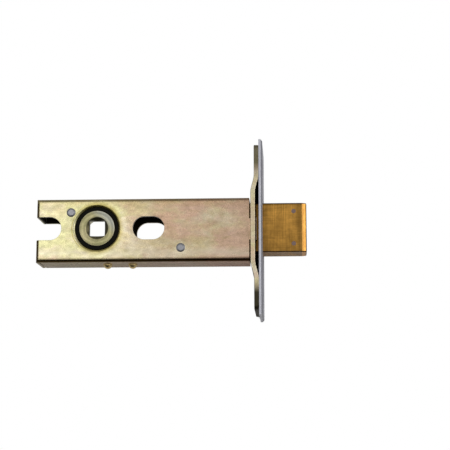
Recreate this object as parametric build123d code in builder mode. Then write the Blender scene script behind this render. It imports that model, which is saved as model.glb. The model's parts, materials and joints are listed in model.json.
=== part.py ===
from build123d import *

import os
from math import cos, radians, sin, tan

# A tubular bathroom deadbolt: a folded case, a double forend, and a brass bolt that a forked follower throws.
# Millimetres. The origin is the middle of the screw pattern, on the back face that seats on the door edge.
# X points out of the door edge, the way the bolt is thrown. Y runs through the door, Z up along the forend.
# The near side is -Y. The bolt is modelled thrown.

# Forend: a face plate on an inner plate whose middle is pressed back
forend_length = 60.0
forend_width = 25.0
outer_thick = 1.3
outer_bevel = 0.6
inner_length = 56.5
inner_thick = 1.6
inner_corner_r = 1.5
joggle_depth = 1.2
joggle_half = 12.5
joggle_run = 4.4
joggle_bend_r = 8.0
face_clear = 0.25
guide_clear = 0.15
screw_end_margin = 6.0
screw_hole_d = 5.0
screw_sink_d = 7.4
screw_sink_angle = 90

# Case: a folded tray with an inset cover
backset = 57.0
case_depth = 78.0
case_height = 22.0
case_thick = 13.5
sheet = 1.0
bend_inner_r = 0.3
corner_slit = 0.3
cover_gap = 0.1
case_setback = 0.55
tab_width = 7.4
tab_clear = 0.1
tab_proud = 0.4
tab_lip = 0.2

# Openings through both walls, measured along X from the spindle
oval_length = 10.9
oval_height = 8.0
oval_offset = 17.8
notch_height = 8.0
notch_offset = 12.3
lip_r = 0.9

# Cross posts: a thick middle between the walls and thin ends spun over in countersinks
post_d = 2.4
post_neck_d = 1.7
post_head_d = 3.0
post_head_angle = 90
post_crown = 0.18
post_crown_bevel = 0.5
post_height = 6.25
front_post_offset = 28.9
rear_post_offset = -9.0

# Bolt: the axis lies above the case's middle, which leaves room for the spring below
bolt_rise = 0.7
bolt_height = 17.0
bolt_thick = 10.5
bolt_length = 26.9
bolt_reach = 14.9
bolt_throw = 14.0
nose_length = 1.6
nose_depth = 0.8
bolt_pin_d = 1.5
bolt_pin_reach = 10.5
bolt_pin_height = 5.6

# Tail: a plate in a saw cut of the bolt, with a limb that runs under the oval to the follower
tail_thick = 2.0
tail_near_y = -1.7
root_depth = 7.0
root_inset = 0.3
root_clear = 0.05
limb_top = -4.4
limb_bottom = -9.3
limb_bend = 6.0
limb_end = 2.2
tail_rivet_d = 2.5
tail_rivet_height = 4.5
tail_rivet_inset = 3.5
drive_pin_d = 2.0
drive_pin_head_d = 3.0
drive_pin_head = 0.5
drive_pin_gap = 0.3
rivet_clear = 0.02

# Follower: a hub in two bushes, with a fork that points forward and down while the bolt is thrown
turn = 90.0
boss_r = 6.1
boss_recess = 0.1
collar_r = 7.3
far_collar = 3.9
neck_r = 5.2
arm_thick = 3.0
arm_width = 6.6
arm_floor_clear = 0.1
fork_slack = 0.65
fork_grip = 0.2
fork_taper = 1.5
fork_relief = 0.3
square = 5.3
square_depth = 2.4
bore_r = 3.95
mouth_wall = 0.4
sink_depth = 0.8
neck_clear = 0.35

# Bushes: black rings that line the follower's holes, each with a flange inside the case
bush_wall = 1.25
bush_recess = 0.45
bush_flange = 0.7
bush_flange_r = 8.3
turn_clear = 0.05
press_clear = 0.02

# Detent: a leaf spring on the case's floor, held by two round-head rivets
leaf_thick = 0.4
leaf_width = 6.0
leaf_near_y = -4.6
leaf_front = 2.0
hump_height = 0.9
hump_start = 1.4
hump_length = 7.8
spring_rivet_y = -0.2
spring_rivet_offsets = (3.1, 11.8)
spring_rivet_d = 1.8
spring_rivet_head_d = 3.1
spring_rivet_head = 1.5
spring_rivet_tail_d = 2.6
spring_rivet_tail = 0.4

# Places worked out from those sizes
front_x = inner_thick + outer_thick
screw_spacing = inner_length - 2 * screw_end_margin
inner_front_x = inner_thick - joggle_depth
case_front_x = -joggle_depth - case_setback
case_rear_x = front_x - case_depth
spindle_x = front_x - backset
wall_y = case_thick / 2
inside_y = wall_y - sheet
wall_z = case_height / 2
inside_z = wall_z - sheet
bend_outer_r = bend_inner_r + sheet
bush_r = boss_r + turn_clear + bush_wall
hole_r = bush_r + press_clear
boss_y = wall_y - boss_recess
collar_y = inside_y - bush_flange - turn_clear
bolt_tip_x = front_x + bolt_reach
bolt_rear_x = bolt_tip_x - bolt_length
bolt_bottom_z = bolt_rise - bolt_height / 2
tail_far_y = tail_near_y + tail_thick
front_post_x = spindle_x + front_post_offset
rear_post_x = spindle_x + rear_post_offset
posts = ((front_post_x, -post_height, "front_post"), (rear_post_x, post_height, "rear_post"))
post_hole_r = post_neck_d / 2 + rivet_clear
post_sink_r = post_head_d / 2 + rivet_clear
pin_drop = bolt_throw / 2
pin_x = spindle_x + pin_drop
pin_z = bolt_rise - pin_drop
pin_r = drive_pin_d / 2
arm_tip_r = bolt_rise + inside_z - leaf_thick - arm_floor_clear
post_slot_r = post_d / 2 + guide_clear
spindle_axis = Axis((spindle_x, 0, bolt_rise), (0, 1, 0))


def facing_near(y):
    """The sketch plane at depth y that faces the near side: its x is X, its y is Z."""
    return Plane.XZ.offset(-y)


def finish(piece, name):
    """Label a finished piece and write it as its own file."""
    piece.part.label = name
    export_step(piece.part, f"parts/{name}.step")


os.makedirs("parts", exist_ok=True)

# The openings that both walls share: the oval for a fixing bolt and the rear notch
notch_end_x = spindle_x - notch_offset
notch_length = notch_end_x - case_rear_x + notch_height
with BuildSketch(facing_near(wall_y)) as wall_openings:
    with Locations((spindle_x + oval_offset, bolt_rise)):
        SlotOverall(oval_length, oval_height)
    with Locations((notch_end_x - notch_length / 2, bolt_rise)):
        SlotOverall(notch_length, notch_height)

# Case shell: the near wall with the top, the bottom and the rear end folded from it
with BuildPart() as case_shell:
    with BuildSketch(facing_near(wall_y)):
        with Locations(((case_front_x + case_rear_x) / 2, 0)):
            Rectangle(case_front_x - case_rear_x, case_height)
    extrude(amount=case_thick)
    fillet(case_shell.faces().sort_by(Axis.Y)[0].edges().sort_by(Axis.X)[:-1], radius=bend_outer_r)
    far_face = case_shell.faces().sort_by(Axis.Y)[-1]
    front_face = case_shell.faces().sort_by(Axis.X)[-1]
    offset(amount=-sheet, openings=[far_face, front_face])
    # The rear end is folded over the ends of the top and bottom, with a slit at each corner
    slit_x = case_rear_x + sheet + corner_slit / 2
    for side in (-1, 1):
        with Locations((slit_x, bend_outer_r / 2, side * (wall_z - sheet / 2))):
            Box(corner_slit, case_thick - bend_outer_r, sheet, mode=Mode.SUBTRACT)
    # The follower's hole has a rounded lip
    with Locations(Plane((spindle_x, -wall_y, bolt_rise), z_dir=(0, -1, 0))):
        Hole(hole_r, sheet)
    fillet(case_shell.faces().sort_by(Axis.Y)[0].inner_wires()[0].edges(), radius=lip_r)
    extrude(wall_openings.sketch, amount=case_thick, mode=Mode.SUBTRACT)
    # The front tab goes through the inner forend and is peened over in front of it
    with BuildSketch(facing_near(-inside_y)):
        with Locations(((case_front_x + inner_front_x) / 2, 0)):
            Rectangle(inner_front_x - case_front_x, tab_width)
    extrude(amount=sheet)
    with BuildSketch(facing_near(-inside_y)):
        with Locations((inner_front_x + tab_proud / 2, 0)):
            Rectangle(tab_proud, tab_width + 2 * tab_lip)
    extrude(amount=sheet + tab_lip)
    for x, z, name in posts:
        with Locations(Plane((x, -wall_y, z), z_dir=(0, -1, 0))):
            CounterSinkHole(post_hole_r, post_sink_r, sheet, post_head_angle)
    for offset_x in spring_rivet_offsets:
        with Locations(Plane((spindle_x + offset_x, spring_rivet_y, -wall_z), z_dir=(0, 0, -1))):
            Hole(spring_rivet_d / 2 + rivet_clear, sheet)
finish(case_shell, "case_shell")

# Case cover: the far wall, set into the open side of the shell
with BuildPart() as case_cover:
    cover_rear_x = case_rear_x + sheet + cover_gap
    with BuildSketch(facing_near(wall_y)):
        with Locations(((case_front_x + cover_rear_x) / 2, 0)):
            Rectangle(case_front_x - cover_rear_x, 2 * (inside_z - cover_gap))
        with Locations(((case_front_x + inner_front_x) / 2, 0)):
            Rectangle(inner_front_x - case_front_x, tab_width)
    extrude(amount=sheet)
    with Locations(Plane((spindle_x, wall_y, bolt_rise), z_dir=(0, 1, 0))):
        Hole(hole_r, sheet)
    fillet(case_cover.faces().sort_by(Axis.Y)[-1].inner_wires()[0].edges(), radius=lip_r)
    extrude(wall_openings.sketch, amount=sheet, mode=Mode.SUBTRACT)
    with BuildSketch(facing_near(wall_y + tab_lip)):
        with Locations((inner_front_x + tab_proud / 2, 0)):
            Rectangle(tab_proud, tab_width + 2 * tab_lip)
    extrude(amount=sheet + tab_lip)
    for x, z, name in posts:
        with Locations(Plane((x, wall_y, z), z_dir=(0, 1, 0))):
            CounterSinkHole(post_hole_r, post_sink_r, sheet, post_head_angle)
finish(case_cover, "case_cover")

# Inner forend: its ends carry the face plate, its middle is pressed back to the case
with BuildPart() as inner_forend:
    with BuildSketch(facing_near(forend_width / 2)) as inner_profile:
        with BuildLine():
            Polyline(
                (inner_thick, inner_length / 2),
                (inner_thick, joggle_half + joggle_run),
                (inner_front_x, joggle_half),
                (inner_front_x, -joggle_half),
                (inner_thick, -joggle_half - joggle_run),
                (inner_thick, -inner_length / 2),
                (0, -inner_length / 2),
                (0, -joggle_half - joggle_run),
                (-joggle_depth, -joggle_half),
                (-joggle_depth, joggle_half),
                (0, joggle_half + joggle_run),
                (0, inner_length / 2),
                close=True,
            )
        make_face()
        bend_limit = joggle_half + joggle_run
        fillet(inner_profile.vertices().filter_by_position(Axis.Y, -bend_limit, bend_limit), joggle_bend_r)
    extrude(amount=forend_width)
    fillet(inner_forend.edges().filter_by(Axis.X).group_by(Axis.Z)[0], inner_corner_r)
    fillet(inner_forend.edges().filter_by(Axis.X).group_by(Axis.Z)[-1], inner_corner_r)
    with BuildSketch(Plane.YZ.offset(inner_thick)):
        with Locations((0, bolt_rise)):
            Rectangle(bolt_thick + 2 * guide_clear, bolt_height + 2 * guide_clear)
        Rectangle(case_thick + 2 * tab_clear, tab_width + 2 * tab_clear)
        with GridLocations(0, screw_spacing, 1, 2):
            Circle(screw_hole_d / 2)
    extrude(amount=-inner_thick - joggle_depth, mode=Mode.SUBTRACT)
finish(inner_forend, "inner_forend")

# Outer forend: the face plate, with countersunk screw holes and the bolt's opening
with BuildPart() as outer_forend:
    with BuildSketch(Plane.YZ.offset(inner_thick)):
        Rectangle(forend_width, forend_length)
        with Locations((0, bolt_rise)):
            Rectangle(bolt_thick + 2 * face_clear, bolt_height + 2 * face_clear, mode=Mode.SUBTRACT)
    extrude(amount=outer_thick)
    chamfer(outer_forend.faces().sort_by(Axis.X)[-1].outer_wire().edges(), outer_bevel)
    for side in (-1, 1):
        with Locations(Plane((front_x, 0, side * screw_spacing / 2), z_dir=(1, 0, 0))):
            CounterSinkHole(screw_hole_d / 2, screw_sink_d / 2, outer_thick, screw_sink_angle)
finish(outer_forend, "outer_forend")

# Bolt head: a brass bar with a bevelled nose and a saw cut for the tail
with BuildPart() as bolt_head:
    with BuildSketch(Plane.XY.offset(bolt_bottom_z)):
        with BuildLine():
            Polyline(
                (bolt_rear_x, -bolt_thick / 2),
                (bolt_tip_x - nose_length, -bolt_thick / 2),
                (bolt_tip_x, nose_depth - bolt_thick / 2),
                (bolt_tip_x, bolt_thick / 2 - nose_depth),
                (bolt_tip_x - nose_length, bolt_thick / 2),
                (bolt_rear_x, bolt_thick / 2),
                close=True,
            )
        make_face()
        with Locations((bolt_rear_x + (root_depth + root_clear) / 2, (tail_near_y + tail_far_y) / 2)):
            Rectangle(root_depth + root_clear, tail_thick + 2 * root_clear, mode=Mode.SUBTRACT)
    extrude(amount=bolt_height)
    with BuildSketch(facing_near(bolt_thick / 2)):
        with Locations((bolt_rear_x + tail_rivet_inset, bolt_rise)):
            with GridLocations(0, 2 * tail_rivet_height, 1, 2):
                Circle(tail_rivet_d / 2 + rivet_clear)
        with Locations((front_x + bolt_pin_reach, bolt_rise)):
            with GridLocations(0, 2 * bolt_pin_height, 1, 2):
                Circle(bolt_pin_d / 2 + rivet_clear)
    extrude(amount=bolt_thick, mode=Mode.SUBTRACT)
finish(bolt_head, "bolt_head")

# Pins through the bolt near its nose, flush with both sides
with BuildPart() as bolt_pins:
    with BuildSketch(facing_near(bolt_thick / 2)):
        with Locations((front_x + bolt_pin_reach, bolt_rise)):
            with GridLocations(0, 2 * bolt_pin_height, 1, 2):
                Circle(bolt_pin_d / 2)
    extrude(amount=bolt_thick)
finish(bolt_pins, "bolt_pins")

# Bolt tail: its root fills the saw cut, its limb runs low past the oval and under the follower's neck
with BuildPart() as bolt_tail:
    root_top_z = bolt_rise + bolt_height / 2 - root_inset
    root_bottom_z = bolt_bottom_z + root_inset
    limb_top_z = bolt_rise + limb_top
    limb_bottom_z = bolt_rise + limb_bottom
    limb_low_z = bolt_rise - neck_r - neck_clear
    limb_step_x = spindle_x + neck_r + neck_clear + bolt_throw
    with BuildSketch(facing_near(tail_far_y)):
        with BuildLine():
            Polyline(
                (bolt_rear_x + root_depth, root_top_z),
                (bolt_rear_x + root_depth, root_bottom_z),
                (bolt_rear_x - root_inset, root_bottom_z),
                (bolt_rear_x - root_inset, limb_bottom_z),
                (pin_x - limb_end, limb_bottom_z),
                (pin_x - limb_end, limb_low_z),
                (limb_step_x, limb_low_z),
                (limb_step_x, limb_top_z),
                (bolt_rear_x - limb_bend, limb_top_z),
                (bolt_rear_x - root_inset, root_top_z),
                close=True,
            )
        make_face()
        with Locations((bolt_rear_x + tail_rivet_inset, bolt_rise)):
            with GridLocations(0, 2 * tail_rivet_height, 1, 2):
                Circle(tail_rivet_d / 2 + rivet_clear, mode=Mode.SUBTRACT)
        with Locations((front_post_x + bolt_throw / 2, -post_height)):
            SlotOverall(bolt_throw + 2 * post_slot_r, 2 * post_slot_r, mode=Mode.SUBTRACT)
        with Locations((pin_x, pin_z)):
            Circle(pin_r + rivet_clear, mode=Mode.SUBTRACT)
    extrude(amount=tail_thick)
finish(bolt_tail, "bolt_tail")

# Rivets that cross the bolt and hold the tail's root, filed flush
with BuildPart() as tail_rivets:
    with BuildSketch(facing_near(bolt_thick / 2)):
        with Locations((bolt_rear_x + tail_rivet_inset, bolt_rise)):
            with GridLocations(0, 2 * tail_rivet_height, 1, 2):
                Circle(tail_rivet_d / 2)
    extrude(amount=bolt_thick)
finish(tail_rivets, "tail_rivets")

# Drive pin: riveted in the tail, it stands out to the near side, into the follower's fork
with BuildPart() as drive_pin:
    with BuildSketch(facing_near(tail_far_y)):
        with Locations((pin_x, pin_z)):
            Circle(pin_r)
    extrude(amount=tail_far_y + collar_y - drive_pin_gap)
    with BuildSketch(facing_near(tail_far_y + drive_pin_head)):
        with Locations((pin_x, pin_z)):
            Circle(drive_pin_head_d / 2)
    extrude(amount=drive_pin_head)
finish(drive_pin, "drive_pin")

# Follower: a turned hub with a forked arm beside the tail, and a countersunk square hole for the spindle
with BuildPart() as follower:
    arm_far_y = arm_thick - collar_y
    far_collar_y = collar_y - far_collar
    with BuildSketch(Plane.XY.offset(bolt_rise)):
        with BuildLine():
            Polyline(
                (spindle_x, -boss_y),
                (spindle_x + boss_r, -boss_y),
                (spindle_x + boss_r, -collar_y),
                (spindle_x + collar_r, -collar_y),
                (spindle_x + collar_r, arm_far_y),
                (spindle_x + neck_r, arm_far_y),
                (spindle_x + neck_r, far_collar_y),
                (spindle_x + collar_r, far_collar_y),
                (spindle_x + collar_r, collar_y),
                (spindle_x + boss_r, collar_y),
                (spindle_x + boss_r, boss_y),
                (spindle_x, boss_y),
                close=True,
            )
        make_face()
    revolve(axis=spindle_axis)
    lean = radians(turn / 2)
    arm_plane = Plane((spindle_x, arm_far_y, bolt_rise), x_dir=(cos(lean), 0, sin(lean)), z_dir=(0, -1, 0))
    with BuildSketch(arm_plane):
        with Locations((0, -arm_tip_r / 2)):
            Rectangle(arm_width, arm_tip_r)
        Circle(arm_tip_r, mode=Mode.INTERSECT)
    extrude(amount=arm_thick)
    # The fork leaves the pin some slack in mid turn and closes on it towards the mouth
    fork_bottom = -(pin_drop - pin_r - fork_relief)
    fork_shoulder = -(pin_drop + fork_taper)
    with BuildSketch(arm_plane):
        with BuildLine():
            Polyline(
                (-pin_r - fork_slack, fork_bottom),
                (-pin_r - fork_slack, fork_shoulder),
                (-pin_r - fork_grip, -arm_tip_r),
                (pin_r + fork_grip, -arm_tip_r),
                (pin_r + fork_slack, fork_shoulder),
                (pin_r + fork_slack, fork_bottom),
                close=True,
            )
        make_face()
    extrude(amount=arm_thick, mode=Mode.SUBTRACT)
    with BuildSketch(facing_near(square_depth - boss_y)):
        with Locations((spindle_x, bolt_rise)):
            Rectangle(square, square)
    extrude(amount=square_depth, mode=Mode.SUBTRACT)
    # Behind the square the bore opens out towards the far face
    with BuildSketch(Plane.XY.offset(bolt_rise)):
        with BuildLine():
            Polyline(
                (spindle_x, square_depth - boss_y),
                (spindle_x + bore_r, square_depth - boss_y),
                (spindle_x + boss_r - mouth_wall, boss_y),
                (spindle_x, boss_y),
                close=True,
            )
        make_face()
    revolve(axis=spindle_axis, mode=Mode.SUBTRACT)
    with BuildSketch(Plane.XY.offset(bolt_rise)):
        with BuildLine():
            Polyline(
                (spindle_x, -boss_y),
                (spindle_x + bore_r, -boss_y),
                (spindle_x + square / 2, sink_depth - boss_y),
                (spindle_x, sink_depth - boss_y),
                close=True,
            )
        make_face()
    revolve(axis=spindle_axis, mode=Mode.SUBTRACT)
finish(follower, "follower")

# Bushes: one in each wall, with the flange inside
for side, name in ((-1, "near_bush"), (1, "far_bush")):
    with BuildPart() as bush:
        with BuildSketch(Plane.XY.offset(bolt_rise)):
            with BuildLine():
                Polyline(
                    (spindle_x + boss_r + turn_clear, side * (wall_y - bush_recess)),
                    (spindle_x + bush_r, side * (wall_y - bush_recess)),
                    (spindle_x + bush_r, side * inside_y),
                    (spindle_x + bush_flange_r, side * inside_y),
                    (spindle_x + bush_flange_r, side * (inside_y - bush_flange)),
                    (spindle_x + boss_r + turn_clear, side * (inside_y - bush_flange)),
                    close=True,
                )
            make_face()
        revolve(axis=spindle_axis)
    finish(bush, name)

# Cross posts: shoulders hold the walls apart, spun heads hold them together
post_head_depth = (post_head_d - post_neck_d) / 2 / tan(radians(post_head_angle / 2))
for x, z, name in posts:
    half_profile = (
        (x + post_d / 2, inside_y),
        (x + post_neck_d / 2, inside_y),
        (x + post_neck_d / 2, wall_y - post_head_depth),
        (x + post_head_d / 2, wall_y),
        (x + post_head_d / 2 - post_crown_bevel, wall_y + post_crown),
        (x, wall_y + post_crown),
    )
    with BuildPart() as post:
        with BuildSketch(Plane.XY.offset(z)):
            with BuildLine():
                Polyline(*half_profile, *[(px, -py) for px, py in reversed(half_profile)], close=True)
            make_face()
        revolve(axis=Axis((x, 0, z), (0, 1, 0)))
    finish(post, name)

# Detent spring: flat on the floor under its rivets, then a hump that the fork's tip rides over
with BuildPart() as detent_spring:
    leaf_front_x = spindle_x + spring_rivet_offsets[-1] + leaf_front
    hump_front_x = spindle_x + hump_start
    hump_rear_x = hump_front_x - hump_length
    hump_mid_x = hump_front_x - hump_length / 2
    leaf_far_y = leaf_near_y + leaf_width
    with BuildSketch(facing_near(leaf_far_y)):
        with BuildLine():
            Line((leaf_front_x, -inside_z), (hump_front_x, -inside_z))
            ThreePointArc(
                (hump_front_x, -inside_z),
                (hump_mid_x, hump_height - inside_z),
                (hump_rear_x, -inside_z),
            )
            Line((hump_rear_x, -inside_z), (hump_rear_x, leaf_thick - inside_z))
            ThreePointArc(
                (hump_rear_x, leaf_thick - inside_z),
                (hump_mid_x, leaf_thick + hump_height - inside_z),
                (hump_front_x, leaf_thick - inside_z),
            )
            Line((hump_front_x, leaf_thick - inside_z), (leaf_front_x, leaf_thick - inside_z))
            Line((leaf_front_x, leaf_thick - inside_z), (leaf_front_x, -inside_z))
        make_face()
    extrude(amount=leaf_width)
    with BuildSketch(Plane.XY.offset(-inside_z)):
        with Locations(*[(spindle_x + offset_x, spring_rivet_y) for offset_x in spring_rivet_offsets]):
            Circle(spring_rivet_d / 2 + rivet_clear)
    extrude(amount=leaf_thick, mode=Mode.SUBTRACT)
finish(detent_spring, "detent_spring")

# Spring rivets: round heads under the case, flat tails closed on the leaf
with BuildPart() as spring_rivets:
    with BuildSketch(Plane.XY.offset(-wall_z)):
        with Locations(*[(spindle_x + offset_x, spring_rivet_y) for offset_x in spring_rivet_offsets]):
            Circle(spring_rivet_d / 2)
    extrude(amount=sheet + leaf_thick)
    with BuildSketch(Plane.XY.offset(leaf_thick - inside_z)):
        with Locations(*[(spindle_x + offset_x, spring_rivet_y) for offset_x in spring_rivet_offsets]):
            Circle(spring_rivet_tail_d / 2)
    extrude(amount=spring_rivet_tail)
    for offset_x in spring_rivet_offsets:
        head_x = spindle_x + offset_x
        with BuildSketch(Plane.XZ.offset(-spring_rivet_y)):
            with BuildLine():
                Line((head_x, -wall_z), (head_x + spring_rivet_head_d / 2, -wall_z))
                RadiusArc(
                    (head_x + spring_rivet_head_d / 2, -wall_z),
                    (head_x, -wall_z - spring_rivet_head),
                    (spring_rivet_head_d**2 / 4 + spring_rivet_head**2) / (2 * spring_rivet_head),
                )
                Line((head_x, -wall_z - spring_rivet_head), (head_x, -wall_z))
            make_face()
        revolve(axis=Axis((head_x, spring_rivet_y, 0), (0, 0, 1)))
finish(spring_rivets, "spring_rivets")
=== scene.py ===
import json
from math import cos, pi, radians, sin

import bpy
from bpy.props import FloatProperty, FloatVectorProperty, PointerProperty
from mathutils import Matrix, Vector

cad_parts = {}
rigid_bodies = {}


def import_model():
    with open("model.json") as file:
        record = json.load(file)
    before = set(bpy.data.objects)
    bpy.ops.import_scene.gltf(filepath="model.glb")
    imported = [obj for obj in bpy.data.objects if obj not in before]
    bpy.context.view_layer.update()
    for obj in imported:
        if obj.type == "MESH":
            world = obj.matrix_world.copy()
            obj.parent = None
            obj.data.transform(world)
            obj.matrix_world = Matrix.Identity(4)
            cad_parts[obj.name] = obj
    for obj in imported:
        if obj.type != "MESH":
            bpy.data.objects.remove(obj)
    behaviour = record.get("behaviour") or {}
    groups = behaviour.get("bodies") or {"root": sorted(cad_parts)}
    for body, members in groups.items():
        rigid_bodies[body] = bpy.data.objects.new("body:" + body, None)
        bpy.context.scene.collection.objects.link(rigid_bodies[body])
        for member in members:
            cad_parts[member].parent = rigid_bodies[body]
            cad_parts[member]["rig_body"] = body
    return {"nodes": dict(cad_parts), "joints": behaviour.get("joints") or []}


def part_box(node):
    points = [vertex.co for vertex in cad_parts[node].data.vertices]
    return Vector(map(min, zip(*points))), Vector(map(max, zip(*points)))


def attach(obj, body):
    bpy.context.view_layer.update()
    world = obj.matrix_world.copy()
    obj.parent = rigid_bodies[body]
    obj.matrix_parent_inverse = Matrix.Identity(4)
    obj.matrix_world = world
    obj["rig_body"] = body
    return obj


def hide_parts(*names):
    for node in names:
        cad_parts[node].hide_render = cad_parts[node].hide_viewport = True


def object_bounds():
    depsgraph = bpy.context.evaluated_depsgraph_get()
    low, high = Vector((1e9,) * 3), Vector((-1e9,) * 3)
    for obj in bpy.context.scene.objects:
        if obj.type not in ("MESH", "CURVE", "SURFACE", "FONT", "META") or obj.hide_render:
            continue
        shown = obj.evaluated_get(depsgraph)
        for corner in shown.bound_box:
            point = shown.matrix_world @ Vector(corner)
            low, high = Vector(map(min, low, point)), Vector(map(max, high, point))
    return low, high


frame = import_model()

bl_info = {
    "name": "Bathroom Deadbolt",
    "version": (1, 0, 0),
    "blender": (4, 5, 0),
    "location": "3D View > Sidebar > Deadbolt",
    "description": "Gives a tubular bathroom deadbolt its edges and finishes, "
    "and sets a plain studio round it",
    "category": "Add Mesh",
}

CAD_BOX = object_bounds()
MM = 0.001

# Places on the lock that the finishes are laid out from
SPINDLE = next(Vector(j["pos_m"]) for j in frame["joints"] if j["name"] == "follower_turn")
NOTCH_END = SPINDLE - Vector((16.3 * MM, 0, 0))
SHEET = 1.0 * MM
TAB_LIP = 0.2 * MM
CASE_LOW, CASE_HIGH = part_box("case_shell")
NEAR_WALL = CASE_LOW.y + TAB_LIP
GAP_REACH, GAP_SIDE = 17.5 * MM, 12.2 * MM
JOGGLE_START, JOGGLE_END = 12.5 * MM, 16.9 * MM
JOGGLE_BACK, JOGGLE_FRONT = -0.4 * MM, 0.8 * MM
NOSE_BEVEL = 1.6 * MM
FACE_BEVEL = (0.72 * MM, 1.27 * MM)
SINK_RADIUS = (3.9 * MM, 3.98 * MM)
SINK_START, SQUARE_START, SQUARE_END = 0.1 * MM, 0.85 * MM, 2.45 * MM

# How a mesh from the CAD is merged, smoothed and given broken edges
MERGED = 0.001 * MM
FLAT, SMOOTH, SHARP = radians(0.5), radians(30), radians(35)
PIN_HOLE_EDGE = 1.5 * MM

# The range that noise mostly keeps to
NOISE_LOW, NOISE_HIGH = 0.3, 0.7

# What is left of the film's own colour: where it is thicker and painted shade falls towards the
# front, painted shade round the bush's dish and along the top, a painted reflection on the
# underside, and painted shade on the folds
THICK_FILM_AND_SHADE = (0.80, 0.76, 0.72)
DISH_SHADE_FILM = (0.66, 0.60, 0.36)
TOP_SHADE_FILM = (0.86, 0.80, 0.66)
UNDERSIDE_SHADE_FILM = (0.97, 0.86, 0.88)
FOLD_SHADE_FILM = (0.16, 0.11, 0.045)

# Steel that shows through, was rubbed bright, or is painted as shade on the outer forend's bevel
BARE_SINTER = (0.45, 0.46, 0.42)
RUBBED_STEEL = (0.78, 0.78, 0.80)
BEVEL_SHADE_STEEL = (0.10, 0.10, 0.12)

# The floor: how white it is where the lock shuts light out, and how much of it metal mirrors
FLOOR_SIZE, FLOOR_DROP = 6, 0.05 * MM
SHADE_REACH, SHADE_SAMPLES = 5 * MM, 32
SHUT_OUT = ((0.25, 0), (0.42, 0.97), (0.60, 1))
MIRRORED, MIRRORED_BEHIND = 0.12, 0.6

# The room: how bright it is from the front to the back, and from below to above
ROOM_BY_DEPTH = ((0.0, 0.75), (0.20, 0.45), (0.42, 0.12), (0.55, 0.12), (0.80, 0.60), (1.0, 1.0))
ROOM_BY_HEIGHT = (
    (0.0, 0.03),
    (0.20, 0.04),
    (0.375, 0.30),
    (0.50, 0.90),
    (0.56, 1.0),
    (0.65, 0.90),
    (0.80, 0.45),
    (1.0, 0.60),
)

# The lamps: where each stands, where it looks, and its width
KEY_LAMP = ((-0.33, -0.91, 0.14), (-0.03, 0, 0), 0.42)
FILL_LAMP = ((0.75, -0.62, 0.20), (0, 0, 0), 0.45)


def colour(label, text, value):
    """A linear colour that the user may change."""
    return FloatVectorProperty(
        name=label, description=text, subtype="COLOR", size=3, min=0, max=1, default=value
    )


def length(label, text, value):
    """A length that the user may change."""
    return FloatProperty(
        name=label, description=text, unit="LENGTH", subtype="DISTANCE", min=0, default=value
    )


def offset(label, text, value):
    """A place along an axis that the user may change."""
    return FloatProperty(name=label, description=text, unit="LENGTH", default=value)


def turn(label, text, degrees):
    """An angle that the user may change."""
    return FloatProperty(
        name=label, description=text, unit="ROTATION", subtype="ANGLE", default=radians(degrees)
    )


def share(label, text, value):
    """A plain number that the user may change."""
    return FloatProperty(name=label, description=text, min=0, default=value)


class DeadboltFinishes(bpy.types.PropertyGroup):
    """The colours of the lock's metals and plastics, and of the shade painted on them."""

    straw: colour("Straw", "Passivate where the film is thin", (0.70, 0.60, 0.36))
    lime: colour("Lime", "Passivate where the film turns green", (0.68, 0.66, 0.33))
    cream: colour("Cream", "Passivate where little film has taken", (0.76, 0.69, 0.54))
    rose: colour("Rose", "Passivate where the film turns pink", (0.69, 0.45, 0.35))
    film_shade: colour("Film shade", "Passivate where it has run", (0.44, 0.34, 0.18))
    # Painted shade inside the case, in the gap between the forends, at the inner forend's ends and
    # round the follower's square hole.
    shade_tone: colour(
        "Greased film",
        "Passivate inside the case and at the ends, dull and dark",
        (0.05, 0.042, 0.026),
    )
    drawn_brass: colour(
        "Drawn brass", "Long faces of the bolt, as drawn and tarnished", (0.46, 0.24, 0.05)
    )
    milled_brass: colour("Milled brass", "Nose of the bolt, where it was cut", (0.81, 0.41, 0.095))
    # Painted shade on the bolt's broken edges.
    brass_edge_shade: colour(
        "Brass grime", "Broken edges of the bolt, dark with use", (0.07, 0.035, 0.012)
    )
    rivet_brass: colour("Rivet brass", "Small rivets under the case", (0.95, 0.72, 0.34))
    satin_steel: colour("Satin steel", "Outer forend", (0.59, 0.59, 0.65))
    bright_steel: colour("Bright steel", "Posts and tail", (0.34, 0.34, 0.36))
    pin_steel: colour("Pin steel", "Pins in the bolt, tarnished with it", (0.24, 0.17, 0.15))
    spring_steel: colour("Spring steel", "Leaf spring", (0.26, 0.27, 0.31))
    follower: colour("Follower", "Sintered follower", (0.40, 0.375, 0.19))
    nylon: colour("Nylon", "Bushes that the follower turns in", (0.008, 0.0075, 0.005))


class DeadboltEdges(bpy.types.PropertyGroup):
    """How far the sharp edges of each piece are broken."""

    sheet: length("Sheet edges", "Broken edge of the case and the outer forend", 0.08 * MM)
    plate: length("Plate edges", "Broken edge of the inner forend", 0.25 * MM)
    bolt: length("Bolt edges", "Broken edge of the bolt", 0.35 * MM)
    follower: length("Follower edges", "Broken edge of the follower", 0.10 * MM)


class DeadboltStudio(bpy.types.PropertyGroup):
    """The camera, the lamps and the floor."""

    azimuth: turn("Azimuth", "Where the camera stands round the lock", 2.95)
    elevation: turn("Elevation", "How far the camera stands above the lock's level", -10.3)
    roll: turn("Roll", "How far the camera is turned about its own line of sight", 0.0)
    distance: length("Distance", "From the camera to the point it aims at", 0.436)
    aim_x: offset("Aim X", "Point aimed at, along the bolt", -10.38 * MM)
    aim_z: offset("Aim Z", "Point aimed at, along the forend", 2.63 * MM)
    lens: FloatProperty(
        name="Lens", description="Focal length in millimetres on a 36 mm sensor", default=100.5
    )
    key_power: share("Key power", "Softbox at the left of the camera, in watts", 0.62)
    fill_power: share("Fill power", "Softbox at the right of the camera, in watts", 1.05)
    paper: colour("Paper", "The plain floor", (0.80, 0.80, 0.80))


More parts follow.
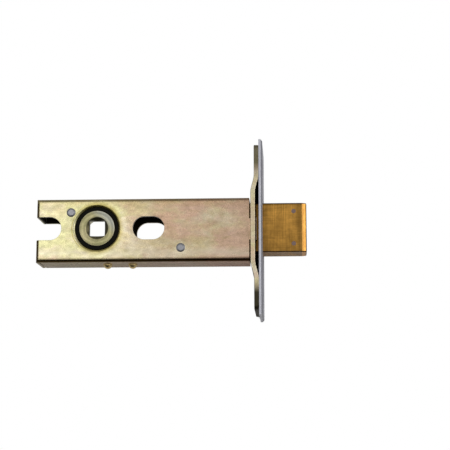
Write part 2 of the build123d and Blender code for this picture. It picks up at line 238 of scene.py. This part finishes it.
def finishes():
    return bpy.context.scene.deadbolt_finishes


def edges():
    return bpy.context.scene.deadbolt_edges


def studio():
    return bpy.context.scene.deadbolt_studio


def add(tree, kind, inputs=None, **options):
    """Adds a node, sets its options, and fills or links its inputs."""
    made = tree.nodes.new(kind)
    for name, value in options.items():
        setattr(made, name, value)
    for name, value in (inputs or {}).items():
        if isinstance(value, bpy.types.NodeSocket):
            tree.links.new(value, made.inputs[name])
        else:
            made.inputs[name].default_value = value
    return made


def place(tree, scale=(1, 1, 1), centre=(0, 0, 0), turned=(0, 0, 0)):
    """Object coordinates, measured from a centre and stretched."""
    at = add(tree, "ShaderNodeTexCoord").outputs["Object"]
    moved = add(tree, "ShaderNodeVectorMath", {0: at, 1: centre}, operation="SUBTRACT").outputs[0]
    inputs = {"Vector": moved, "Scale": scale, "Rotation": turned}
    return add(tree, "ShaderNodeMapping", inputs).outputs[0]


def split(tree, where=None):
    """The three coordinates of a point on the piece."""
    where = where or add(tree, "ShaderNodeTexCoord").outputs["Object"]
    return add(tree, "ShaderNodeSeparateXYZ", {0: where}).outputs


def from_axis(tree, centre):
    """How far a point lies from a line through a centre, across the case."""
    away = place(tree, (1, 0, 1), centre=centre)
    return add(tree, "ShaderNodeVectorMath", {0: away}, operation="LENGTH").outputs["Value"]


def bevel_faces(tree):
    """1 on a broken edge and 0 elsewhere, as the piece's own attribute says."""
    return add(tree, "ShaderNodeAttribute", attribute_name="bevel_faces").outputs["Fac"]


def noise(tree, where, scale, detail=2.0, roughness=0.5, distortion=0.0):
    """Smooth noise from 0 to 1."""
    inputs = {
        "Vector": where,
        "Scale": scale,
        "Detail": detail,
        "Roughness": roughness,
        "Distortion": distortion,
    }
    return add(tree, "ShaderNodeTexNoise", inputs).outputs[0]


def sums(tree, how, a, b):
    """One sum on two values."""
    return add(tree, "ShaderNodeMath", {0: a, 1: b}, operation=how).outputs[0]


def times(tree, first, *others):
    """The product of two or more values."""
    for other in others:
        first = sums(tree, "MULTIPLY", first, other)
    return first


def span(tree, value, low, high, to_low=0.0, to_high=1.0):
    """Carries one range of values onto another, and stops at its ends."""
    inputs = {
        "Value": value,
        "From Min": low,
        "From Max": high,
        "To Min": to_low,
        "To Max": to_high,
    }
    return add(tree, "ShaderNodeMapRange", inputs).outputs[0]


def vary(tree, grain, low, high):
    """Carries the range that noise mostly keeps to onto another."""
    return span(tree, grain, NOISE_LOW, NOISE_HIGH, low, high)


def within(tree, value, low, high, soft):
    """1 between two values and 0 outside them, with a soft change."""
    rise = span(tree, value, low - soft, low + soft)
    fall = span(tree, value, high - soft, high + soft, 1.0, 0.0)
    return times(tree, rise, fall)


def blend(tree, share_of_b, a, b, mode="MIX"):
    """Mixes two colours."""
    a = (*a, 1) if isinstance(a, (tuple, list)) and len(a) == 3 else a
    b = (*b, 1) if isinstance(b, (tuple, list)) and len(b) == 3 else b
    inputs = {0: share_of_b, 6: a, 7: b}
    return add(tree, "ShaderNodeMix", inputs, data_type="RGBA", blend_type=mode).outputs[2]


def tint(tree, tone, by):
    """A colour times another, or times a value."""
    return blend(tree, 1.0, tone, by, "MULTIPLY")


def tint_where(tree, where, tone, by):
    """Tints a colour, but only where a mask says."""
    return blend(tree, where, tone, tint(tree, tone, by))


def greys(stops):
    """The stops of a ramp of greys."""
    return [(at, (value, value, value)) for at, value in stops]


def ramp(tree, value, stops):
    """A colour ramp with a stop for each (place, colour)."""
    made = add(tree, "ShaderNodeValToRGB", {0: value})
    parts = made.color_ramp.elements
    while len(parts) < len(stops):
        parts.new(0.5)
    for part, (at, tone) in zip(parts, stops):
        part.position = at
        part.color = (*tone, 1)
    return made.outputs[0]


def start_finish(name, metallic=1.0):
    """A new material with one shader, and what the finish is painted with."""
    made = bpy.data.materials.new(name)
    made.use_nodes = True
    shader = made.node_tree.nodes["Principled BSDF"]
    shader.inputs["Metallic"].default_value = metallic
    return made, made.node_tree, shader


def paint(tree, shader, tone, roughness, height, depth, strength):
    """Gives a shader its colour, its roughness and its surface."""
    tree.links.new(tone, shader.inputs["Base Color"])
    tree.links.new(roughness, shader.inputs["Roughness"])
    inputs = {"Height": height, "Distance": depth, "Strength": strength}
    tree.links.new(add(tree, "ShaderNodeBump", inputs).outputs[0], shader.inputs["Normal"])


def cloud_film(tree, seed, slow):
    """The film's clouds, drawn out along the way the sheet was rolled."""
    tones = finishes()
    film = tones.straw[:]
    for step, (tone, scale, low, high, pull) in enumerate((
        (tones.cream[:], 170, 0.40, 0.62, 0.0),
        (tones.lime[:], 150, 0.50, 0.68, -0.16),
        (tones.rose[:], 160, 0.48, 0.68, 0.16),
        (tones.film_shade[:], 420, 0.54, 0.82, 0.06),
    )):
        where = place(tree, (0.5, 1, 1), centre=(seed + 0.37 * step, 0.11 * step, seed))
        cloud = noise(tree, where, scale, 5, 0.66, 0.3)
        cloud = sums(tree, "ADD", cloud, times(tree, slow, pull))
        film = blend(tree, span(tree, cloud, low, high, 0.0, 0.75), film, tone)
    return film


def streak_and_shade_walls(tree, at, film, slow, seed):
    """Streaks the film on the case's walls, and darkens it towards the front, as thicker film and
    as painted shade, and with painted shade round the bush's dish and along the top.
    """
    rolled = noise(tree, place(tree, (0.10, 1, 1), centre=(seed, 0.2, 0.4)), 420, 3, 0.6)
    film = tint(tree, film, vary(tree, rolled, 0.90, 1.08))
    low_edge = within(tree, at["Z"], -9 * MM, -7 * MM, 1.2 * MM)
    thin = times(tree, low_edge, span(tree, rolled, 0.35, 0.6, 0.1, 0.65))
    film = blend(tree, thin, film, finishes().cream[:])
    # Thicker film and painted shade: darker from the middle of the walls towards the front, a
    # little less at the very front.
    rise = span(tree, slow, -0.45, 0.25)
    thick_and_shade = sums(tree, "MINIMUM", rise, span(tree, slow, 0.25, 1.1, 1.0, 0.6))
    film = tint_where(tree, thick_and_shade, film, THICK_FILM_AND_SHADE)
    # Painted shade round the bush's dish; on the rear side only a thin dark line at its rim.
    radius = from_axis(tree, SPINDLE)
    halo = within(tree, radius, 6.5 * MM, 8.8 * MM, 0.8 * MM)
    line = within(tree, radius, 8.5 * MM, 8.8 * MM, 0.15 * MM)
    rear = span(tree, at["X"], SPINDLE.x - 7.5 * MM, SPINDLE.x - 4 * MM, 1.0, 0.0)
    film = tint_where(tree, blend(tree, rear, halo, line), film, DISH_SHADE_FILM)
    # Painted shade along the top of the walls.
    upper = span(tree, at["Z"], 7.5 * MM, 10.5 * MM, 0.0, 0.8)
    return tint_where(tree, upper, film, TOP_SHADE_FILM)


def shade_folds(tree, at, film):
    """Paints shade on the film along the case's folds and just above the lower fold, and a painted
    reflection on its underside, darker towards the rear.
    """
    # Painted reflection on the underside: darker towards the rear, lighter towards the front.
    under = span(tree, at["Z"], CASE_LOW.z + 0.02 * MM, CASE_LOW.z + 0.06 * MM, 1.0, 0.0)
    kept = span(tree, at["X"], -75 * MM, -15 * MM, 0.70, 1.30)
    film = tint_where(tree, under, film, tint(tree, kept, UNDERSIDE_SHADE_FILM))
    # Painted shade on the folds, away from the bush, and on the face just above the lower fold.
    start, end = NEAR_WALL + 0.02 * MM, NEAR_WALL + 0.12 * MM
    bent = times(
        tree,
        span(tree, at["Y"], start, end),
        span(tree, at["Y"], NEAR_WALL + 0.85 * MM, NEAR_WALL + 1.2 * MM, 1.0, 0.0),
        span(tree, from_axis(tree, SPINDLE), 9.5 * MM, 10 * MM),
        span(tree, at["Z"], 9 * MM, 10 * MM, 1.0, 0.45),
    )
    beside = span(tree, at["Z"], CASE_LOW.z + 1.1 * MM, CASE_LOW.z + 1.7 * MM, 0.5, 0.0)
    on_wall = span(tree, at["Y"], start, end, 1.0, 0.0)
    folds = sums(tree, "MAXIMUM", bent, times(tree, beside, on_wall))
    return tint_where(tree, folds, film, FOLD_SHADE_FILM)


def passivate(name, seed, dark, drift=None, folded=False):
    """Yellow passivated zinc: a thin film that turns straw, lime and rose in clouds over steel.

    dark and drift each take the tree and the three coordinates. dark gives where painted shade
    makes the film dull and dark, and drift how far it goes from lime, below 0, to rose, above 0; on
    the case's walls drift also sets the painted shade towards the front. folded says whether the
    piece has folds to paint with shade and an underside to paint with a reflection.
    """
    tones = finishes()
    made, tree, shader = start_finish(name)
    at = split(tree)
    slow = drift(tree, at) if drift else 0.0
    film = cloud_film(tree, seed, slow)
    specks = vary(tree, noise(tree, place(tree), 3000, 3, 0.65), 0.76, 1.16)
    blots = vary(tree, noise(tree, place(tree, (0.8, 1, 1)), 620, 3, 0.6), 0.92, 1.07)
    film = tint(tree, film, times(tree, specks, blots))
    if drift:
        film = streak_and_shade_walls(tree, at, film, slow, seed)
    film = blend(tree, times(tree, bevel_faces(tree), 0.3), film, tones.cream[:])
    if folded:
        film = shade_folds(tree, at, film)
    # Painted shade where the piece looks into the case or the gap, or towards the inner forend's
    # ends.
    shut = dark(tree, at)
    film = blend(tree, shut, film, tones.shade_tone[:])
    dull = vary(tree, noise(tree, place(tree, (0.6, 1, 1)), 600, 3), 0.24, 0.36)
    dull = sums(tree, "MAXIMUM", dull, times(tree, shut, 0.6))
    lines = noise(tree, place(tree, (0.05, 1, 1)), 3800, 2)
    paint(tree, shader, film, dull, sums(tree, "ADD", lines, specks), 0.01 * MM, 0.35)
    return made


def inside_shell(tree, at):
    """1 on the faces of the shell that look into the case."""
    wall, soft = SHEET / 2, 0.05 * MM
    depth = span(tree, at["Y"], CASE_LOW.y + SHEET - soft, CASE_LOW.y + SHEET + soft)
    height = within(tree, at["Z"], CASE_LOW.z + wall, CASE_HIGH.z - wall, soft)
    rear = span(tree, at["X"], CASE_LOW.x + wall - soft, CASE_LOW.x + wall + soft)
    return times(tree, depth, height, rear)


def inside_cover(tree, at):
    """1 on the face of the cover that looks into the case."""
    face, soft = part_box("case_cover")[0].y, 0.1 * MM
    return span(tree, at["Y"], face + soft, face + 2 * soft, 1.0, 0.0)


def film_along_case(tree, at):
    """From lime at the rear of the case to rose at its front, with lime round each punched hole."""
    slow = span(tree, at["X"], -60 * MM, 2 * MM, -0.5, 1.3)
    rings = [(SPINDLE, 6 * MM, 9.5 * MM), (NOTCH_END, 3.5 * MM, 6 * MM)]
    for node in ("front_post", "rear_post"):
        low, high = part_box(node)
        rings.append(((low + high) / 2, 0.0, 2.6 * MM))
    for centre, inner, outer in rings:
        ring = within(tree, from_axis(tree, centre), inner, outer, 1.2 * MM)
        slow = sums(tree, "SUBTRACT", slow, times(tree, ring, 0.7))
    return slow


def along_gap(tree, z):
    """How far a point lies from the middle of the forend, and 1 where that is within the gap."""
    away = sums(tree, "ABSOLUTE", z, 0)
    return away, span(tree, away, GAP_REACH, GAP_REACH + 0.1 * MM, 1.0, 0.0)


def shade_to_ends(tree, at):
    """How much painted shade darkens the inner forend: towards its two ends, most at the lower one,
    and on the face that looks into the gap between the forends."""
    top = span(tree, at["Z"], 16 * MM, 22 * MM, 0.0, 0.75)
    low = span(tree, at["Z"], -22.5 * MM, -18 * MM, 0.96, 0.0)
    away, gap = along_gap(tree, at["Z"])
    middle = span(tree, away, JOGGLE_START, JOGGLE_END, JOGGLE_BACK, JOGGLE_FRONT)
    front = span(tree, sums(tree, "SUBTRACT", at["X"], middle), 0.55 * MM, 0.7 * MM)
    shut = times(tree, front, within(tree, at["Y"], -GAP_SIDE, GAP_SIDE, 0.1 * MM), gap)
    return sums(tree, "MAXIMUM", sums(tree, "MAXIMUM", top, low), shut)


def drawn_brass(name, nose_x, guide_x):
    """Drawn brass: fine lines along the bolt and across it, tarnished on the long faces, with
    painted shade inside the case, along the top edge and on the broken edges, and fresh where the
    nose was cut."""
    tones = finishes()
    made, tree, shader = start_finish(name)
    at = split(tree)
    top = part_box("bolt_head")[1].z
    drawn = noise(tree, place(tree, (0.02, 1, 1)), 4200, 3, 0.6)
    milled = noise(tree, place(tree, (1, 0.1, 0.03)), 2600, 3, 0.6)
    tarnish = noise(tree, place(tree, (0.8, 1, 1)), 320, 4, 0.65, 0.5)
    smears = noise(tree, place(tree, (1, 1, 0.5)), 130, 3, 0.6, 0.4)
    shade = times(
        tree,
        vary(tree, drawn, 0.74, 1.20),
        vary(tree, milled, 0.74, 1.22),
        vary(tree, tarnish, 0.64, 1.30),
        vary(tree, smears, 0.70, 1.28),
        # Painted shade inside the case, behind the inner forend.
        span(tree, at["X"], guide_x, guide_x + 3.2 * MM, 0.12, 1.0),
        span(tree, at["X"], nose_x - 3.5 * MM, nose_x, 1.0, 0.78),
        # Painted shade along the top edge.
        span(tree, at["Z"], top - 0.9 * MM, top - 0.4 * MM, 1.0, 0.4),
    )
    tarnished_and_shaded = tint(tree, tones.drawn_brass[:], shade)
    fresh = tint(tree, tones.milled_brass[:], vary(tree, tarnish, 0.92, 1.04))
    cut = span(tree, at["X"], nose_x - 0.05 * MM, nose_x + 0.05 * MM)
    brass = blend(tree, cut, tarnished_and_shaded, fresh)
    # Painted shade on the broken edges.
    brass = blend(tree, times(tree, bevel_faces(tree), 0.85), brass, tones.brass_edge_shade[:])
    dull = vary(tree, tarnish, 0.28, 0.44)
    paint(tree, shader, brass, dull, sums(tree, "ADD", drawn, milled), 0.012 * MM, 0.5)
    return made


def shade_forend(tree, steel):
    """Paints shade on the outer forend's bevel, and on its back where that looks into the gap."""
    at = split(tree)
    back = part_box("outer_forend")[0].x
    # Painted shade on the back where it looks into the gap.
    shut = span(tree, at["X"], back + 0.02 * MM, back + 0.06 * MM, 1.0, 0.0)
    gap = along_gap(tree, at["Z"])[1]
    steel = blend(tree, times(tree, shut, gap), steel, finishes().shade_tone[:])
    # Painted shade on the bevel of the face.
    start, end = FACE_BEVEL
    bevel = within(tree, at["X"], back + start, back + end, 0.02 * MM)
    return blend(tree, times(tree, bevel, 0.45), steel, BEVEL_SHADE_STEEL)


def satin_steel(name, tone, lines_along, low=0.24, high=0.40, add_shade=None):
    """Brushed steel: fine lines along one axis, with a slow change in its gloss. The last argument
    may take the tree and the steel's colour, and darken it with painted shade."""
    made, tree, shader = start_finish(name)
    stretch = [1, 1, 1]
    stretch["xyz".index(lines_along)] = 0.01
    lines = noise(tree, place(tree, stretch), 5200, 3, 0.6)
    hazy = noise(tree, place(tree), 240, 3, 0.5)
    shade = times(tree, vary(tree, lines, 0.86, 1.08), vary(tree, hazy, 0.93, 1.04))
    steel = tint(tree, tone, shade)
    steel = blend(tree, times(tree, bevel_faces(tree), 0.5), steel, RUBBED_STEEL)
    if add_shade:
        steel = add_shade(tree, steel)
    paint(tree, shader, steel, vary(tree, lines, low, high), lines, 0.008 * MM, 0.4)
    return made


def spun_metal(name, tone, centre, axis_turn, low=0.26, high=0.42):
    """Metal that was spun or turned: fine rings about its own axis."""
    made, tree, shader = start_finish(name)
    inputs = {
        "Vector": place(tree, centre=centre, turned=axis_turn),
        "Scale": 900,
        "Distortion": 1.5,
        "Detail": 2,
        "Detail Scale": 1.5,
    }
    options = {"wave_type": "RINGS", "rings_direction": "Z"}
    rings = add(tree, "ShaderNodeTexWave", inputs, **options).outputs[1]
    pits = noise(tree, place(tree), 2600, 3, 0.6)
    shade = times(tree, span(tree, rings, 0, 1, 0.86, 1.05), vary(tree, pits, 0.88, 1.06))
    metal, dull = tint(tree, tone, shade), vary(tree, pits, low, high)
    paint(tree, shader, metal, dull, sums(tree, "ADD", rings, pits), 0.015 * MM, 0.5)
    return made


def hole_shade(tree, radius):
    """How much painted shade darkens the follower: in its countersink, and most in its square."""
    depth = sums(tree, "SUBTRACT", split(tree)["Y"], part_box("follower")[0].y)
    bore = span(tree, radius, *SINK_RADIUS, 1.0, 0.0)
    sink = times(tree, within(tree, depth, SINK_START, SQUARE_END, 0.04 * MM), 0.8)
    square = times(tree, within(tree, depth, SQUARE_START, SQUARE_END, 0.04 * MM), 0.85)
    return times(tree, bore, sums(tree, "MAXIMUM", sink, square))


def sintered(name):
    """Sintered steel under a thin passivate: an open grain, faced on a lathe, bare on one side,
    with bands of painted highlight and shade round its axis, painted highlight on its broken edges,
    and painted shade round its square hole."""
    tones = finishes()
    made, tree, shader = start_finish(name)
    radius = from_axis(tree, SPINDLE)
    pores = noise(tree, place(tree), 3600, 3, 0.6)
    clouds = noise(tree, place(tree), 300, 3, 0.5, 0.4)
    warm = blend(tree, span(tree, clouds, 0.35, 0.65), tones.follower[:], tones.straw[:])
    steel = blend(tree, 0.45, tones.follower[:], warm)
    hub = split(tree, place(tree, centre=SPINDLE))
    bare = span(tree, sums(tree, "ADD", hub["X"], hub["Z"]), 3 * MM, 7 * MM, 0.0, 0.8)
    steel = blend(tree, bare, steel, BARE_SINTER)
    steel = tint(tree, steel, vary(tree, pores, 0.78, 1.12))
    # Lighter broken edges, as painted highlight.
    steel = blend(tree, times(tree, bevel_faces(tree), 0.6), steel, tones.cream[:])
    # Bands of painted highlight and shade round the axis.
    wander = vary(tree, noise(tree, place(tree), 90, 2), -2.0, 2.0)
    swept = sums(tree, "ADD", times(tree, radius, 2 * pi / (1.5 * MM)), wander)
    highlight_and_shade_bands = sums(tree, "SINE", swept, 0)
    steel = tint(tree, steel, span(tree, highlight_and_shade_bands, -1, 1, 0.84, 1.22))
    # Painted shade in the countersink and the square hole.
    steel = blend(tree, hole_shade(tree, radius), steel, tones.shade_tone[:])
    turned = sums(tree, "SINE", times(tree, radius, 2 * pi / (0.22 * MM)), 0)
    height = sums(tree, "ADD", times(tree, turned, 0.5), pores)
    paint(tree, shader, steel, vary(tree, pores, 0.30, 0.46), height, 0.02 * MM, 0.5)
    return made


def moulded_nylon(name):
    """Black nylon with the faint grain of its mould."""
    made, tree, shader = start_finish(name, metallic=0.0)
    shader.inputs["Specular IOR Level"].default_value = 0.07
    grain = noise(tree, place(tree), 2400, 2, 0.5)
    black = tint(tree, finishes().nylon[:], vary(tree, grain, 0.7, 1.3))
    paint(tree, shader, black, vary(tree, grain, 0.42, 0.58), grain, 0.01 * MM, 0.4)
    return made


def deselect():
    """Starts an operator with nothing selected."""
    bpy.ops.object.select_all(action="DESELECT")


def dress(node, finish):
    """Gives a CAD node that stays as it is a finish of its own."""
    mesh = frame["nodes"][node].data
    mesh.materials.clear()
    mesh.materials.append(finish)


def sharp_edges(mesh, angle, shortest):
    """The mesh's edges that are sharper than an angle and not shorter than a length."""
    beside = {}
    for face in mesh.polygons:
        for key in face.edge_keys:
            beside.setdefault(key, []).append(face.normal)
    for edge in mesh.edges:
        normals = beside[edge.key]
        a, b = (mesh.vertices[i].co for i in edge.vertices)
        if len(normals) == 2 and normals[0].angle(normals[1]) > angle and (a - b).length > shortest:
            yield edge


def soften(node, name, finish, width, shortest=0.0):
    """Makes a piece from a CAD node's mesh, breaks its sharp edges, and lets it stand for the node.

    The bevel's faces are told apart by a second material slot, which then becomes bevel_faces.
    """
    deselect()
    source = frame["nodes"][node]
    piece = bpy.data.objects.new(name, source.data.copy())
    bpy.context.scene.collection.objects.link(piece)
    mesh = piece.data
    mesh.materials.clear()
    mesh.materials.append(finish)
    mesh.materials.append(finish)
    piece.select_set(True)
    bpy.context.view_layer.objects.active = piece
    bpy.ops.object.mode_set(mode="EDIT")
    bpy.ops.mesh.select_all(action="SELECT")
    bpy.ops.mesh.customdata_custom_splitnormals_clear()
    bpy.ops.mesh.remove_doubles(threshold=MERGED)
    bpy.ops.mesh.tris_convert_to_quads(face_threshold=FLAT, shape_threshold=pi)
    bpy.ops.object.mode_set(mode="OBJECT")
    bpy.ops.object.shade_smooth_by_angle(angle=SMOOTH)
    weight = mesh.attributes.new("bevel_weight_edge", "FLOAT", "EDGE")
    for edge in sharp_edges(mesh, SHARP, shortest):
        weight.data[edge.index].value = 1.0
    bpy.ops.object.modifier_add(type="BEVEL")
    broken = piece.modifiers[-1]
    broken.width = width
    broken.segments = 2
    broken.limit_method = "WEIGHT"
    broken.use_clamp_overlap = False
    broken.loop_slide = False
    broken.harden_normals = True
    broken.material = 1
    bpy.ops.object.modifier_apply(modifier=broken.name)
    wear = mesh.attributes.new("bevel_faces", "FLOAT", "FACE")
    wear.data.foreach_set("value", [float(face.material_index) for face in mesh.polygons])
    for face in mesh.polygons:
        face.material_index = 0
    mesh.materials.pop(index=1)
    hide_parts(node)
    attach(piece, source["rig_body"])


class DEADBOLT_OT_case(bpy.types.Operator):
    """Make the folded case and its cover"""

    bl_idname = "deadbolt.case"
    bl_label = "Case"

    def execute(self, context):
        shell = passivate("passivated_shell", 0.0, inside_shell, film_along_case, folded=True)
        cover = passivate("passivated_cover", 0.21, inside_cover, film_along_case)
        soften("case_shell", "folded_case", shell, edges().sheet)
        soften("case_cover", "case_lid", cover, edges().sheet)
        return {"FINISHED"}


class DEADBOLT_OT_forends(bpy.types.Operator):
    """Make the joggled inner forend and the satin outer forend"""

    bl_idname = "deadbolt.forends"
    bl_label = "Forends"

    def execute(self, context):
        inner = passivate("passivated_forend", 0.47, shade_to_ends)
        outer = satin_steel("satin_steel", finishes().satin_steel[:], "z", add_shade=shade_forend)
        soften("inner_forend", "joggled_forend", inner, edges().plate)
        soften("outer_forend", "satin_forend", outer, edges().sheet)
        return {"FINISHED"}


class DEADBOLT_OT_bolt(bpy.types.Operator):
    """Make the brass bolt and finish the pins in it"""

    bl_idname = "deadbolt.bolt"
    bl_label = "Bolt"

    def execute(self, context):
        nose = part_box("bolt_head")[1].x - NOSE_BEVEL
        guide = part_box("inner_forend")[0].x
        brass = drawn_brass("bolt_brass", nose, guide)
        soften("bolt_head", "brass_bolt", brass, edges().bolt, PIN_HOLE_EDGE)
        dress("bolt_pins", satin_steel("pin_steel", finishes().pin_steel[:], "x"))
        return {"FINISHED"}


class DEADBOLT_OT_tail(bpy.types.Operator):
    """Finish the bolt's tail, its rivets and the drive pin"""

    bl_idname = "deadbolt.tail"
    bl_label = "Tail"

    def execute(self, context):
        steel = satin_steel("tail_steel", finishes().bright_steel[:], "x", low=0.32, high=0.5)
        for node in ("bolt_tail", "tail_rivets", "drive_pin"):
            dress(node, steel)
        return {"FINISHED"}


class DEADBOLT_OT_follower(bpy.types.Operator):
    """Make the follower and finish the bushes it turns in"""

    bl_idname = "deadbolt.follower"
    bl_label = "Follower"

    def execute(self, context):
        steel = sintered("follower_zinc")
        soften("follower", "sintered_follower", steel, edges().follower)
        nylon = moulded_nylon("black_nylon")
        dress("near_bush", nylon)
        dress("far_bush", nylon)
        return {"FINISHED"}


class DEADBOLT_OT_posts(bpy.types.Operator):
    """Finish the two posts that hold the case together"""

    bl_idname = "deadbolt.posts"
    bl_label = "Posts"

    def execute(self, context):
        tone = finishes().bright_steel[:]
        for node in ("front_post", "rear_post"):
            low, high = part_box(node)
            middle = (low + high) / 2
            dress(node, spun_metal(node + "_steel", tone, middle[:], (pi / 2, 0, 0)))
        return {"FINISHED"}


class DEADBOLT_OT_spring(bpy.types.Operator):
    """Finish the leaf spring and its rivets"""

    bl_idname = "deadbolt.spring"
    bl_label = "Spring"

    def execute(self, context):
        tones = finishes()
        brass = spun_metal("rivet_brass", tones.rivet_brass[:], (0, 0, 0), (0, 0, 0), 0.24, 0.34)
        dress("detent_spring", satin_steel("spring_steel", tones.spring_steel[:], "x"))
        dress("spring_rivets", brass)
        return {"FINISHED"}


def softbox(name, lamp_place, power):
    """A square area lamp that looks at a point."""
    at, aim, size = lamp_place
    data = bpy.data.lights.new(name, "AREA")
    data.energy = power
    data.shape = "SQUARE"
    data.size = size
    lamp = bpy.data.objects.new(name, data)
    lamp.location = at
    lamp.rotation_euler = (Vector(aim) - Vector(at)).to_track_quat("-Z", "Y").to_euler()
    bpy.context.scene.collection.objects.link(lamp)


def hang_camera():
    """A camera at the photograph's viewing angle."""
    view = studio()
    azimuth, elevation = view.azimuth, view.elevation
    level = cos(elevation)
    back = Vector((sin(azimuth) * level, -cos(azimuth) * level, sin(elevation)))
    across = (-back).cross(Vector((0, 0, 1))).normalized()
    up = across.cross(-back)
    right = across * cos(view.roll) + up * sin(view.roll)
    top = up * cos(view.roll) - across * sin(view.roll)
    data = bpy.data.cameras.new("camera")
    data.lens = view.lens
    data.sensor_width = 36
    data.clip_start = 0.01
    camera = bpy.data.objects.new("camera", data)
    turned = Matrix((right, top, back)).transposed().to_4x4()
    turned.translation = Vector((view.aim_x, 0, view.aim_z)) + back * view.distance
    camera.matrix_world = turned
    bpy.context.scene.collection.objects.link(camera)
    bpy.context.scene.camera = camera


def mirrored_floor(tree):
    """How much of the white floor metal mirrors: most behind the case, which hides that part."""
    at = split(tree, add(tree, "ShaderNodeNewGeometry").outputs["Position"])
    soft = 1 * MM
    behind_case = times(
        tree,
        within(tree, at["X"], CASE_LOW.x + soft, CASE_HIGH.x - soft, soft),
        within(tree, at["Z"], CASE_LOW.z + soft, CASE_HIGH.z - soft, soft),
    )
    return span(tree, behind_case, 0, 1, MIRRORED, MIRRORED_BEHIND)


def lay_floor():
    """The pale floor that the lock lies on, white to the camera but where the lock shuts the light
    out, and clear from behind."""
    deselect()
    under = (0, CAD_BOX[1].y + FLOOR_DROP, 0)
    bpy.ops.mesh.primitive_plane_add(size=FLOOR_SIZE, location=under, rotation=(pi / 2, 0, 0))
    floor = bpy.context.object
    floor.name = "floor"
    made = bpy.data.materials.new("floor_paper")
    made.use_nodes = True
    tree = made.node_tree
    matt = tree.nodes["Principled BSDF"]
    matt.inputs["Base Color"].default_value = (*studio().paper, 1)
    matt.inputs["Roughness"].default_value = 0.9
    matt.inputs["Specular IOR Level"].default_value = 0.1
    inputs = {"Distance": SHADE_REACH}
    sky = add(tree, "ShaderNodeAmbientOcclusion", inputs, samples=SHADE_SAMPLES).outputs["AO"]
    white = add(tree, "ShaderNodeEmission", {"Color": ramp(tree, sky, greys(SHUT_OUT))})
    path = add(tree, "ShaderNodeLightPath").outputs
    mirrored = times(tree, path["Is Glossy Ray"], mirrored_floor(tree))
    seen = sums(tree, "MAXIMUM", path["Is Camera Ray"], mirrored)
    front = add(tree, "ShaderNodeMixShader", {0: seen, 1: matt.outputs[0], 2: white.outputs[0]})
    clear = add(tree, "ShaderNodeBsdfTransparent")
    behind = add(tree, "ShaderNodeNewGeometry").outputs["Backfacing"]
    shown = add(tree, "ShaderNodeMixShader", {0: behind, 1: front.outputs[0], 2: clear.outputs[0]})
    tree.links.new(shown.outputs[0], tree.nodes["Material Output"].inputs["Surface"])
    floor.data.materials.append(made)


def light_room():
    """A white background, and a room that is pale before and behind the lock, darker at its sides
    and most of all below, and a little paler above and at the right."""
    world = bpy.data.worlds.new("studio")
    world.use_nodes = True
    tree = world.node_tree
    way = split(tree, add(tree, "ShaderNodeTexCoord").outputs["Generated"])
    depth = ramp(tree, span(tree, way["Y"], -1, 1), greys(ROOM_BY_DEPTH))
    height = ramp(tree, span(tree, way["Z"], -1, 1), greys(ROOM_BY_HEIGHT))
    above = span(tree, way["Z"], 0.4, 1.0, 0.0, 0.40)
    beside = span(tree, way["X"], 0.3, 1.0, 0.0, 0.35)
    room = blend(tree, 1.0, tint(tree, depth, height), sums(tree, "ADD", above, beside), "ADD")
    path = add(tree, "ShaderNodeLightPath").outputs
    seen = sums(tree, "MAXIMUM", path["Is Camera Ray"], path["Is Transmission Ray"])
    tree.links.new(blend(tree, seen, room, (1, 1, 1)), tree.nodes["Background"].inputs["Color"])
    bpy.context.scene.world = world


class DEADBOLT_OT_stage(bpy.types.Operator):
    """Set the floor, the lamps, the white background and the camera"""

    bl_idname = "deadbolt.stage"
    bl_label = "Stage"

    def execute(self, context):
        context.scene.view_settings.view_transform = "Standard"
        lay_floor()
        light_room()
        softbox("key_softbox", KEY_LAMP, studio().key_power)
        softbox("fill_softbox", FILL_LAMP, studio().fill_power)
        hang_camera()
        return {"FINISHED"}


STEPS = (
    DEADBOLT_OT_case,
    DEADBOLT_OT_forends,
    DEADBOLT_OT_bolt,
    DEADBOLT_OT_tail,
    DEADBOLT_OT_follower,
    DEADBOLT_OT_posts,
    DEADBOLT_OT_spring,
    DEADBOLT_OT_stage,
)


class DEADBOLT_PT_panel(bpy.types.Panel):
    """Lists the lock's pieces and what may be changed on them"""

    bl_idname = "DEADBOLT_PT_panel"
    bl_label = "Deadbolt"
    bl_space_type = "VIEW_3D"
    bl_region_type = "UI"
    bl_category = "Deadbolt"

    def draw(self, context):
        for step in STEPS:
            self.layout.operator(step.bl_idname)
        for group in (finishes(), edges(), studio()):
            box = self.layout.box()
            for name in group.bl_rna.properties.keys():
                if name not in ("rna_type", "name"):
                    box.prop(group, name)


GROUPS = {
    "deadbolt_finishes": DeadboltFinishes,
    "deadbolt_edges": DeadboltEdges,
    "deadbolt_studio": DeadboltStudio,
}


def register():
    for made in (*GROUPS.values(), *STEPS, DEADBOLT_PT_panel):
        bpy.utils.register_class(made)
    for name, group in GROUPS.items():
        setattr(bpy.types.Scene, name, PointerProperty(type=group))


def unregister():
    for name in GROUPS:
        delattr(bpy.types.Scene, name)
    for made in (DEADBOLT_PT_panel, *reversed(STEPS), *GROUPS.values()):
        bpy.utils.unregister_class(made)


def main():
    register()
    for step in STEPS:
        area, name = step.bl_idname.split(".")
        getattr(getattr(bpy.ops, area), name)()


if __name__ == "__main__":
    main()
